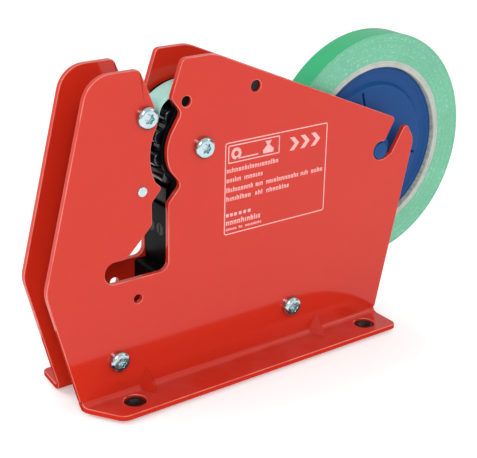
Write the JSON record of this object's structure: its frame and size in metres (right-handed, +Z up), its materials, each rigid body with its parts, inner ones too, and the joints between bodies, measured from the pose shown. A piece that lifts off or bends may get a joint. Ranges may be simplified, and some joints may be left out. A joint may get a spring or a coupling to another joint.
{
  "type": "bag-neck tape sealer",
  "caption": "Bench tape dispenser that seals twisted bag necks: bent steel side plates with a J-shaped throat, a star wheel, a blade and a rear tape reel.",
  "frame": {"origin": "middle of the bounding box, on the standing surface", "axes": "+X from the throat to the tape reel, +Y across the machine, +Z up"},
  "size_m": [0.2267, 0.0546, 0.1452],
  "materials": {
    "red_paint": "gloss powder coat",
    "zinc": "bright zinc plate",
    "bright_steel": "turned",
    "dark_plastic": "moulded",
    "black_gloss": "moulded, polished",
    "black_moulding": "moulded, satin",
    "blade_steel": "ground",
    "black_oxide": "black oxide",
    "spring_steel": "drawn wire",
    "black_rubber": "moulded",
    "blue_plastic": "moulded",
    "core_board": "plain board",
    "tape_green": "wound film",
    "tape_film": "adhesive side up"
  },
  "bodies": {
    "frame": {"near_side_plate": "red_paint", "far_side_plate": "red_paint", "near_screws": "zinc", "far_screws": "zinc", "front_spacer": "bright_steel", "rear_spacer": "bright_steel", "tower_axle": "bright_steel", "star_axle": "bright_steel", "near_cage_half": "black_moulding", "far_cage_half": "black_moulding", "knife_blade": "blade_steel", "blade_clamp": "black_moulding", "blade_screws": "black_oxide", "arm_rivet": "zinc", "guide_pin": "black_oxide", "rubber_feet": "black_rubber", "tape_strip": "tape_film"},
    "star": {"star_wheel": "black_gloss"},
    "neck_roll": {"neck_roller": "dark_plastic"},
    "guide_roll": {"guide_roller": "dark_plastic"},
    "arm": {"pressure_arm": "dark_plastic", "arm_spring": "spring_steel"},
    "reel": {"near_hub_half": "blue_plastic", "far_hub_half": "blue_plastic", "tape_core": "core_board", "tape_roll": "tape_green"}
  },
  "joints": [
    {"name": "star_spin", "type": "hinge", "parent": "frame", "child": "star", "pos_m": [-0.04004, 0, 0.107], "axis": [0, 1, 0], "continuous": true},
    {"name": "reel_spin", "type": "hinge", "parent": "frame", "child": "reel", "pos_m": [0.05956, 0, 0.087], "axis": [0, 1, 0], "continuous": true},
    {"name": "neck_roller_spin", "type": "hinge", "parent": "frame", "child": "neck_roll", "pos_m": [-0.06714, 0, 0.124], "axis": [0, 1, 0], "continuous": true},
    {"name": "guide_roller_spin", "type": "hinge", "parent": "frame", "child": "guide_roll", "pos_m": [-0.01374, 0, 0.1288], "axis": [0, 1, 0], "continuous": true},
    {"name": "arm_swing", "type": "hinge", "parent": "frame", "child": "arm", "pos_m": [-0.06934, 0, 0.0935], "axis": [0, -1, 0], "range_deg": [0, 11], "stiffness_Nm_per_rad": 0.02, "springref_deg": -17.19}
  ]
}
